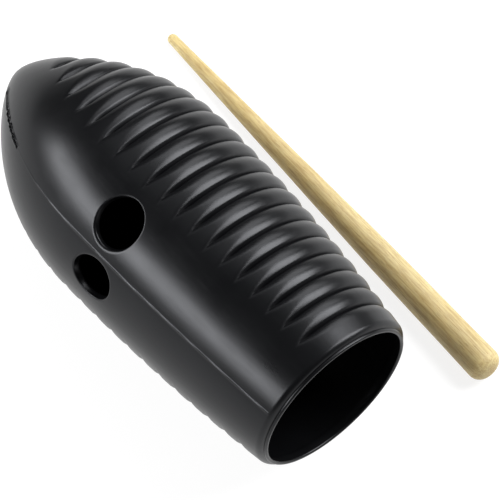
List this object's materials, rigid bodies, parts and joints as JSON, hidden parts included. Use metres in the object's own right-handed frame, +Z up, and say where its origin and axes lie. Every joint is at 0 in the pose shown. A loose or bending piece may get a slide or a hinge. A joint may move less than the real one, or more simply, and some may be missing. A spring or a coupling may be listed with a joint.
{
  "type": "guiro",
  "caption": "Hollow gourd-shaped guiro with a ridged playing side, finger holes and an open mouth, laid beside its tapered wooden scraper.",
  "frame": {"origin": "under the middle of the resonator and scraper together, on the surface they lie on", "axes": "+X along the resonator's axis out of its open mouth, +Z up; the scraper lies on the +Y side"},
  "size_m": [0.2536, 0.1444, 0.1095],
  "materials": {
    "shell_plastic": "satin black moulded plastic",
    "scraper_wood": "sanded pale hardwood with fine lengthwise grain"
  },
  "bodies": {
    "resonator": {"thumb_side_shell": "shell_plastic", "finger_side_shell": "shell_plastic"},
    "scraper": {"scraper": "scraper_wood"}
  },
  "joints": [
    {"name": "scraper_lift", "type": "slide", "parent": "resonator", "child": "scraper", "axis": [0, 0, 1], "range_m": [0, 0.15]}
  ]
}
